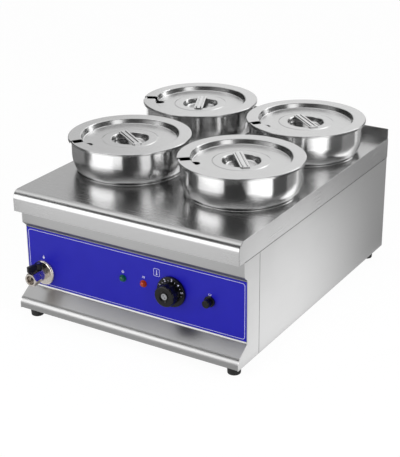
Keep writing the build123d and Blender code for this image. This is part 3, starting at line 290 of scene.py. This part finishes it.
# Phenolic and nylon mouldings: a stipple of 0.3 mm, drawn 0.6 mm wide
black_phenolic = grained("black phenolic, moulded", "#0b0b0c", (0.22, 0.34), 0.0006, 0.00001, 0.2,
                         IOR=1.55, Specular_IOR_Level=0.3)
black_nylon = grained("black nylon, moulded", "#0d0d0f", (0.30, 0.42), 0.0006, 0.00001, 0.2,
                      IOR=1.53, Specular_IOR_Level=0.35)
white_nylon = grained("white nylon, moulded", "#e4e2da", (0.40, 0.52), 0.0006, 0.00001, 0.03,
                      IOR=1.53)
# Acrylic lenses: clear gloss over a tinted body
green_acrylic = grained("green acrylic, moulded", "#04543f", (0.08, 0.14), 0.0012, 0.00001, 0.25,
                        IOR=1.49)
red_acrylic = grained("red acrylic, moulded", "#ab350a", (0.08, 0.14), 0.0012, 0.00001, 0.25,
                      IOR=1.49)
# Rubber and silicone: matt, with a stipple of 0.5 mm drawn 0.8 mm wide
rubber = grained("black nitrile rubber, moulded", "#161616", (0.62, 0.78), 0.0008, 0.00003, 0.2,
                 IOR=1.52)
silicone = grained("red-brown silicone sleeve, extruded", "#6e2a22", (0.50, 0.64), 0.0008, 0.00002, 0.1,
                   IOR=1.41)
# Plated and bright metals: small pits and a slow change in gloss
nickel = grained("nickel plate on brass, polished", "#e4ddd6", (0.18, 0.28), 0.0010, 0.000008, 0.04,
                 Metallic=1.0)
brass = grained("brass, machined", "#b0894c", (0.24, 0.36), 0.0010, 0.00001, 0.06, Metallic=1.0)
zinc = grained("zinc-plated steel", "#b9bcc0", (0.26, 0.38), 0.0010, 0.00001, 0.05, Metallic=1.0)
aluminium = grained("bright aluminium, turned", "#b4b6ba", (0.16, 0.24), 0.0006, 0.00001, 0.03,
                    Metallic=1.0)
# Screen-printing ink: matt white with a slightly uneven coat
white_ink = grained("white screen-printing ink", "#d9d8f2", (0.50, 0.62), 0.0008, 0.000004, 0.05,
                    IOR=1.50)
print(blue_enamel.name, "and", black_phenolic.name)

# %% [markdown]
# Each solid keeps its own mesh and only gets a finish, because its shape already comes from the
# drawing. The table below reads like a parts list: one line for each finish.

# %% Give the solids their finishes
wears = {
    worktop_steel: ["worktop"],
    fascia_steel: ["front_fascia"],
    casing_steel: ["rear_panel", "base_panel", "right_end_cheek", "left_end_cheek",
                   "right_side_panel", "left_side_panel"],
    tank_steel: ["water_tank", "element_saddles", "heating_element"],
    pot_steel: [n for n in nodes if n.startswith("pot_")],
    strap_steel: [n for n in nodes if n.startswith("lid_handle_")],
    lid_steel: [n for n in nodes if n.startswith("lid_") and "handle" not in n],
    blue_enamel: ["control_panel"],
    black_phenolic: ["knob", "thermostat_body", "reset_bezel", "reset_button", "cutout_body"],
    black_nylon: ["tap_lever", "gland_body", "gland_cap", "gland_nut"],
    green_acrylic: ["power_lamp_lens"],
    red_acrylic: ["heat_lamp_lens"],
    nickel: ["tap_escutcheon", "tap_body", "tap_outlet", "tap_ball"],
    brass: ["thermostat_bulb", "cutout_bulb", "bulb_gland", "drain_pipe", "drain_locknut", "earth_stud"],
    rubber: ["drain_gasket", "rubber_feet"],
    zinc: ["element_nuts", "thermostat_screws", "thermostat_spindle", "tap_lever_screw", "foot_screws",
           "casing_screws"],
    aluminium: ["knob_insert"],
    white_nylon: ["lamp_bodies", "terminal_block", "tap_seats"],
    silicone: ["wiring"],
}
for material, names in wears.items():
    for name in names:
        nodes[name].data.materials.clear()
        nodes[name].data.materials.append(material)
bare = set(nodes) - {n for names in wears.values() for n in names}
print("without a finish:", sorted(bare))

# %% [markdown]
# Prints could be painted into a material, but a real outline stays sharp at any distance, so each one
# is a flat shape with the thickness of its ink. Small helpers draw a rounded frame, a disc, a bar, an
# arc and a triangle with bmesh operators. The last one thickens a print and lays it on the front.

# %% Printing helpers
ink_thickness = 0.00006
corner_steps = 6
sweep_steps = 12
panel_low, panel_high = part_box("control_panel")
panel_face = panel_low[1]


def rounded_frame(bm, width, height, corner, line):
    """Flat ring just inside a rounded rectangle."""
    verts = bmesh.ops.create_grid(bm, x_segments=1, y_segments=1, size=0.5)["verts"]
    bmesh.ops.scale(bm, vec=(width, height, 1), verts=verts)
    bmesh.ops.bevel(bm, geom=verts, offset=corner, affect="VERTICES", segments=corner_steps, profile=0.5,
                    material=-1)
    face = max(bm.faces, key=lambda f: f.calc_area())
    bmesh.ops.inset_region(bm, faces=[face], thickness=line, use_boundary=True, use_even_offset=True)
    bmesh.ops.delete(bm, geom=[face], context="FACES")


def disc(bm, radius, x=0.0, y=0.0):
    """Flat disc."""
    move = Matrix.Translation((x, y, 0))
    bmesh.ops.create_circle(bm, cap_ends=True, radius=radius, segments=2 * sweep_steps, matrix=move)


def bar(bm, width, height, x=0.0, y=0.0):
    """Flat bar."""
    shape = Matrix.Translation((x, y, 0)) @ Matrix.Diagonal((width, height, 1, 1))
    bmesh.ops.create_grid(bm, x_segments=1, y_segments=1, size=0.5, matrix=shape)


def arc(bm, radius, line, start, sweep, x=0.0, y=0.0):
    """Flat curved line, swept from a start angle in degrees."""
    turn = Matrix.Translation((x, y, 0)) @ Matrix.Rotation(math.radians(start), 4, "Z")
    ends = [bm.verts.new(turn @ Vector((radius + side * line / 2, 0, 0))) for side in (-1, 1)]
    edge = bm.edges.new(ends)
    bmesh.ops.spin(bm, geom=ends + [edge], cent=(x, y, 0), axis=(0, 0, 1), angle=math.radians(sweep),
                   steps=sweep_steps)


def wedge(bm, size, degrees, x=0.0, y=0.0):
    """Flat triangle that points in a direction given in degrees."""
    turn = Matrix.Translation((x, y, 0)) @ Matrix.Rotation(math.radians(degrees - 90), 4, "Z")
    bmesh.ops.create_circle(bm, cap_ends=True, radius=size, segments=3, matrix=turn)


def print_on_front(name, bm, x, face_y, z, body):
    """Give a flat print its ink thickness and lay it on an upright face that looks to the front."""
    bmesh.ops.recalc_face_normals(bm, faces=bm.faces)
    for face in bm.faces:
        if face.normal.z < 0:
            face.normal_flip()
    bottom = bm.faces[:]
    grown = bmesh.ops.extrude_face_region(bm, geom=bottom, use_keep_orig=True)["geom"]
    top = [v for v in grown if isinstance(v, bmesh.types.BMVert)]
    bmesh.ops.translate(bm, vec=(0, 0, ink_thickness), verts=top)
    bmesh.ops.recalc_face_normals(bm, faces=bm.faces)
    stand = Matrix.Translation((x, face_y, z)) @ Matrix.Rotation(math.pi / 2, 4, "X")
    bmesh.ops.transform(bm, matrix=stand, verts=bm.verts)
    mesh = bpy.data.meshes.new(name)
    bm.to_mesh(mesh)
    bm.free()
    mesh.materials.append(white_ink)
    piece = bpy.data.objects.new(name, mesh)
    scene.collection.objects.link(piece)
    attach(piece, body)
    return piece


print("panel face at y", round(panel_face, 5))

# %% [markdown]
# The panel carries a thin white border with rounded corners. A grid of one face gets its corners
# bevelled, is inset, and loses its middle. Its size follows the panel's own box.

# %% Border of the panel
border_inset = 0.0032
border_line = 0.0007
border_corner = 0.0045
border = bmesh.new()
border_size = [panel_high[i] - panel_low[i] - 2 * border_inset + border_line for i in (0, 2)]
rounded_frame(border, *border_size, border_corner, border_line)
piece = print_on_front("panel_border", border, (panel_low[0] + panel_high[0]) / 2, panel_face,
                       (panel_low[2] + panel_high[2]) / 2, "casing")
print(piece.name, len(piece.data.polygons), "faces")

# %% [markdown]
# Above the dial is a small thermometer in a rounded box. The lamps, the reset button and the tap have
# plain signs instead of words: a power sign, warm air, a turning arrow and a drop. They are only a few
# millimetres high, so each is built from discs, bars, triangles and swept arcs.

# %% Signs on the panel
sign_line = 0.0008
sign_radius = 0.0018
curl_radius, curl_line = 0.0010, sign_line * 0.8
sign_rise = 0.0105   # from the middle of a lamp or of the button
drain_sign_rise = 0.0260   # from the middle of the tap's plate
thermometer_shift = (-0.0268, 0.0240)   # from the middle of the dial


def middle_of(name):
    """Middle of a solid across the front: its x and z."""
    low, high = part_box(name)
    return (low[0] + high[0]) / 2, (low[2] + high[2]) / 2


# Each sign is drawn in metres round its own middle, and then laid on the panel
dial_x, dial_z = middle_of("knob")
thermometer = bmesh.new()
rounded_frame(thermometer, 0.0108, 0.0126, 0.0020, 0.0006)
disc(thermometer, 0.0014, 0, -0.0028)
bar(thermometer, 0.0012, 0.0060, 0, 0.0008)
print_on_front("thermometer_sign", thermometer, dial_x + thermometer_shift[0], panel_face,
               dial_z + thermometer_shift[1], "casing")

power = bmesh.new()
arc(power, sign_radius, sign_line, 125, 290)
bar(power, sign_line, 0.0024, 0, 0.0014)
warm_air = bmesh.new()
for shift in (-sign_radius, 0, sign_radius):
    arc(warm_air, curl_radius, curl_line, -60, 120, shift - 0.0005, 0.0009)
    arc(warm_air, curl_radius, curl_line, 120, 120, shift + 0.0005, -0.0008)
turning_arrow = bmesh.new()
arc(turning_arrow, sign_radius, sign_line, 110, 280)
wedge(turning_arrow, 0.0014, 120, sign_radius, 0.0006)
drop = bmesh.new()
disc(drop, 0.0020, 0, -0.0010)
wedge(drop, 0.0021, 90, 0, 0.0012)
signs = {"power_lamp_lens": power, "heat_lamp_lens": warm_air, "reset_bezel": turning_arrow}
for node, sign in signs.items():
    x, z = middle_of(node)
    print_on_front(node + "_sign", sign, x, panel_face, z + sign_rise, "casing")
x, z = middle_of("tap_escutcheon")
print_on_front("drain_sign", drop, x, panel_face, z + drain_sign_rise, "casing")
print(len(signs) + 2, "signs")

# %% [markdown]
# The skirt of the dial carries five white numbers with a short tick between them. Text can stay a
# curve in Blender, but as a mesh it can be given the thickness of the ink and turned with the knob.

# %% Numbers on the dial
number_radius = 0.0199
number_height = 0.0062
number_swell = 0.00015   # widens every stroke
tick_radius = 0.0190
tick_width, tick_length = 0.0007, 0.0018
first_number, number_step = -65.0, 36.0   # degrees clockwise from the top
knob_clearance, knob_skirt = 0.0008, 0.0042   # gap behind the skirt, and its thickness
skirt_face = panel_face - knob_clearance - knob_skirt


def round_the_dial(bm, degrees, radius):
    """Move a print out to a radius and turn it clockwise about the dial."""
    turn = Matrix.Rotation(math.radians(-degrees), 4, "Z") @ Matrix.Translation((0, radius, 0))
    bmesh.ops.transform(bm, matrix=turn, verts=bm.verts)


for number in range(1, 6):
    words = bpy.data.curves.new("number", "FONT")
    words.body = str(number)
    words.size = number_height
    words.align_x, words.align_y = "CENTER", "CENTER"
    words.offset = number_swell
    holder = bpy.data.objects.new("number", words)
    flat = bpy.data.meshes.new_from_object(holder)
    bpy.data.objects.remove(holder)
    bm = bmesh.new()
    bm.from_mesh(flat)
    bpy.data.meshes.remove(flat)
    angle = first_number + (number - 1) * number_step
    round_the_dial(bm, angle, number_radius)
    print_on_front(f"dial_number_{number}", bm, dial_x, skirt_face, dial_z, "thermostat_knob")
    bm = bmesh.new()
    bar(bm, tick_width, tick_length)
    round_the_dial(bm, angle + number_step / 2, tick_radius)
    print_on_front(f"dial_tick_{number}", bm, dial_x, skirt_face, dial_z, "thermostat_knob")
print("dial face at y", round(skirt_face, 5))

# %% [markdown]
# The appliance stands on plain white paper that runs on as the background. A Light Path node tells
# which kind of ray is asking. The camera sees nine tenths of a flat white and one tenth of real paper,
# which keeps the soft shadow under the casing. Reflections see half of each, and all other light sees
# the real paper alone.

# %% Studio floor
def staged(name, bm, material):
    """Put a thing in the studio that is not a piece of the appliance."""
    mesh = bpy.data.meshes.new(name)
    bm.to_mesh(mesh)
    bm.free()
    mesh.materials.append(material)
    obj = bpy.data.objects.new(name, mesh)
    scene.collection.objects.link(obj)
    return obj


def background_rays(tree, seen, mirrored, other):
    """One of three values, for what the camera sees, what reflections show and all other light."""
    path = add(tree, "ShaderNodeLightPath").outputs
    mirror = add(tree, "ShaderNodeMath", {"operation": "MAXIMUM"},
                 {0: path["Is Glossy Ray"], 1: path["Is Transmission Ray"]}).outputs[0]
    share = add(tree, "ShaderNodeMix", {2: other, 3: mirrored}, {"Factor": mirror}).outputs[0]
    return add(tree, "ShaderNodeMix", {3: seen}, {"Factor": path["Is Camera Ray"], 2: share}).outputs[0]


paper_glow = 1.05   # just over full white
floor_half = 12.0
white_paper, tree, shader, _ = start_finish("white paper", "#f4f4f4", Roughness=1.0)
share = background_rays(tree, seen=0.9, mirrored=0.5, other=0.0)
glow = add(tree, "ShaderNodeEmission", {"Color": (1, 1, 1, 1), "Strength": paper_glow})
mixed = add(tree, "ShaderNodeMixShader", {}, {0: share, 1: shader.outputs[0], 2: glow.outputs[0]})
tree.links.new(mixed.outputs[0], tree.nodes["Material Output"].inputs["Surface"])
bm = bmesh.new()
bmesh.ops.create_grid(bm, x_segments=1, y_segments=1, size=floor_half)
floor = staged("floor", bm, white_paper)
print(floor.name, 2 * floor_half, "m wide")

# %% [markdown]
# Beyond the paper is a white world. The camera and the mirrors see it at full strength, but as a light
# it is kept low, because light from everywhere would flatten the shapes.

# %% World
world = bpy.data.worlds.new("white studio")
world.use_nodes = True
scene.world = world
tree = world.node_tree
strength = background_rays(tree, seen=1.0, mirrored=1.0, other=0.35)
tree.links.new(strength, tree.nodes["Background"].inputs["Strength"])
tree.nodes["Background"].inputs["Color"].default_value = (1, 1, 1, 1)
print(world.name)

# %% [markdown]
# Polished metal shows what stands round it, so the studio is as much a part of the picture as the
# appliance. Two softboxes in front give the light. They are hidden from reflections, and cloths hung
# round the studio are reflected instead, so that light and reflections can be set apart. Dark cloths
# draw the lines along the rolled edges and the far walls of the lids, a bright one between them gives
# each lid its highlight, and pale ones behind are what the worktop and the flat rims show.

# %% Softboxes and cloths
studio_radius = 3.0
softbox_gap = 0.2   # the softboxes stand this far inside the cloths
lit_point = Vector((0, 0, 0.2))


def around(degrees, radius, height):
    """Point round the studio, in degrees from X towards Y."""
    turn = math.radians(degrees)
    return Vector((radius * math.cos(turn), radius * math.sin(turn), height))


def softbox(name, degrees, width, tall, middle, radiance):
    """Area light that reflections do not show, with its middle at a height."""
    light = bpy.data.lights.new(name, "AREA")
    light.shape = "RECTANGLE"
    light.size, light.size_y = width, tall
    light.energy = radiance * math.pi * width * tall
    lamp = bpy.data.objects.new(name, light)
    lamp.location = around(degrees, studio_radius - softbox_gap, middle)
    lamp.rotation_euler = (lit_point - lamp.location).to_track_quat("-Z", "Y").to_euler()
    lamp.visible_camera = False
    lamp.visible_glossy = False
    scene.collection.objects.link(lamp)


softbox("left softbox", -109, width=3.0, tall=1.7, middle=1.0, radiance=2.2)
softbox("right softbox", -18, width=2.2, tall=2.0, middle=1.5, radiance=2.2)


def card_paper(name, radiance):
    """Card whose brightness is set outright."""
    return start_finish(name, "#000000", Emission_Color=(1, 1, 1, 1), Emission_Strength=radiance,
                        Specular_IOR_Level=0.0)


def faded_paper(name, turn, span, levels):
    """Card whose brightness changes along one direction, turned from Y by an angle in degrees."""
    material, tree, shader, place = card_paper(name, 1.0)
    turned = add(tree, "ShaderNodeMapping", {"Rotation": (0, 0, math.radians(turn))}, {"Vector": place})
    along = add(tree, "ShaderNodeSeparateXYZ", {}, {0: turned.outputs[0]}).outputs["Y"]
    fade = add(tree, "ShaderNodeMapRange", {
        "interpolation_type": "SMOOTHSTEP", "From Min": span[0], "From Max": span[1],
        "To Min": levels[0], "To Max": levels[1]}, {"Value": along}).outputs[0]
    tree.links.new(fade, shader.inputs["Emission Strength"])
    return material


def only_reflected(card):
    """Keep a card out of everything but reflections."""
    card.visible_camera = False
    card.visible_diffuse = False
    card.visible_shadow = False
    card.visible_transmission = False


def curtain(name, start, end, low, high, material):
    """Cloth hung round the studio between two directions and two elevations, all in degrees."""
    bm = bmesh.new()
    heights = [studio_radius * math.tan(math.radians(e)) for e in (low, high)]
    ends = [bm.verts.new(around(start, studio_radius, height)) for height in heights]
    edge = bm.edges.new(ends)
    bmesh.ops.spin(bm, geom=ends + [edge], cent=(0, 0, 0), axis=(0, 0, 1),
                   angle=math.radians(end - start), steps=sweep_steps)
    only_reflected(staged(name, bm, material))


def floor_card(name, corners, height, material):
    """Card that lies on the floor."""
    bm = bmesh.new()
    bm.faces.new([bm.verts.new((x, y, height)) for x, y in corners])
    only_reflected(staged(name, bm, material))


def standing_card(name, start, end, tall, material):
    """Card that stands upright on the floor."""
    bm = bmesh.new()
    edge = bm.edges.new([bm.verts.new((x, y, 0)) for x, y in (start, end)])
    grown = bmesh.ops.extrude_edge_only(bm, edges=[edge])["geom"]
    top = [v for v in grown if isinstance(v, bmesh.types.BMVert)]
    bmesh.ops.translate(bm, vec=(0, 0, tall), verts=top)
    only_reflected(staged(name, bm, material))


black_cloth = card_paper("black cloth", 0.03)[0]
dusk_cloth = card_paper("charcoal cloth", 0.1)[0]
dark_cloth = card_paper("dark cloth", 0.2)[0]
grey_cloth = card_paper("grey cloth", 0.78)[0]
pale_cloth = card_paper("pale cloth", 1.02)[0]
cream_cloth = card_paper("cream cloth", 1.25)[0]
bright_cloth = card_paper("bright cloth", 1.7)[0]
white_screen = card_paper("lit white screen", 2.8)[0]
# From one direction to another, from one elevation to another, in degrees
curtains = [
    (-146, -92, 20, 36, dark_cloth),
    (-92, -38, 8, 36, dusk_cloth),
    (-38, -12, 6, 42, bright_cloth),
    (-12, 26, 12, 50, dusk_cloth),
    (26, 48, 0, 56, dark_cloth),
    (62, 92, 0, 32, black_cloth),
    (92, 126, 0, 60, pale_cloth),
    (126, 150, 0, 60, grey_cloth),
    (150, 216, 0, 38, black_cloth),
    (-146, -50, 36, 55, black_cloth),
    (-50, 10, 42, 58, black_cloth),
    (46, 64, 14, 40, white_screen),
    (64, 110, 38, 50, white_screen),
    (150, 180, 50, 76, cream_cloth),
    (180, 216, 50, 76, bright_cloth),
]
for number, (*reach, material) in enumerate(curtains):
    curtain(f"curtain_{number}", *reach, material)
print(len(curtains), "cloths")

# %% [markdown]
# Upright faces look down at the floor in a picture taken from above. A board in front, darker close to
# the appliance, shades the skirt and the band, and a second one shades the right side from front to
# back. A white screen standing at the left draws the line along the nose, and a black card standing in
# front makes the dark band down the middle of each pot. The other boards give the pots the rest of
# their upright bands.

# %% Boards on the floor
front_fade = faded_paper("front board", 0, (-0.66, -0.42), (1.19, 0.58))
side_fade = faded_paper("side board", -62, (-0.24, -0.04), (1.38, 0.36))
# Corners of each board, and the height that keeps it clear of the boards under it
boards = {
    "front_board": ([(-1.6, -1.6), (1.6, -1.6), (1.6, -0.28), (-1.6, -0.28)], 0.001, front_fade),
    "left_gap": ([(-0.43, -0.46), (-0.955, -1.06), (-1.25, -0.69), (-0.54, -0.32)], 0.002, black_cloth),
    "right_board": ([(0.60, -0.62), (1.50, -1.30), (1.60, -0.19), (0.55, -0.115)], 0.002, bright_cloth),
    "side_gap": ([(0.50, -0.12), (1.55, -0.19), (1.47, 0.53), (0.50, 0.15)], 0.003, black_cloth),
    "far_right_gap": ([(0.50, 0.15), (1.47, 0.53), (1.20, 1.40), (0.50, 0.60)], 0.003, dark_cloth),
    "side_board": ([(0.21, -0.27), (0.48, 0.16), (0.48, 1.2), (0.21, 1.2)], 0.004, side_fade),
    "right_gap": ([(0.24, -0.50), (0.52, -0.50), (0.52, 0.20), (0.22, -0.27)], 0.0045, dark_cloth),
    "far_left_gap": ([(-0.54, -0.32), (-1.25, -0.69), (-1.17, 0.66), (-0.51, 0.20)], 0.002, dark_cloth),
}
for name, board in boards.items():
    floor_card(name, *board)
standing_card("front_flag", (0.10, -0.66), (0.576, -0.647), 0.6, black_cloth)
standing_card("left_screen", (-0.92, -0.84), (-0.08, -1.26), 0.66, white_screen)
print(len(boards), "boards and two standing cards")

# %% [markdown]
# Last, the scene is set to the Standard view transform.

# %% The end
scene.view_settings.view_transform = "Standard"
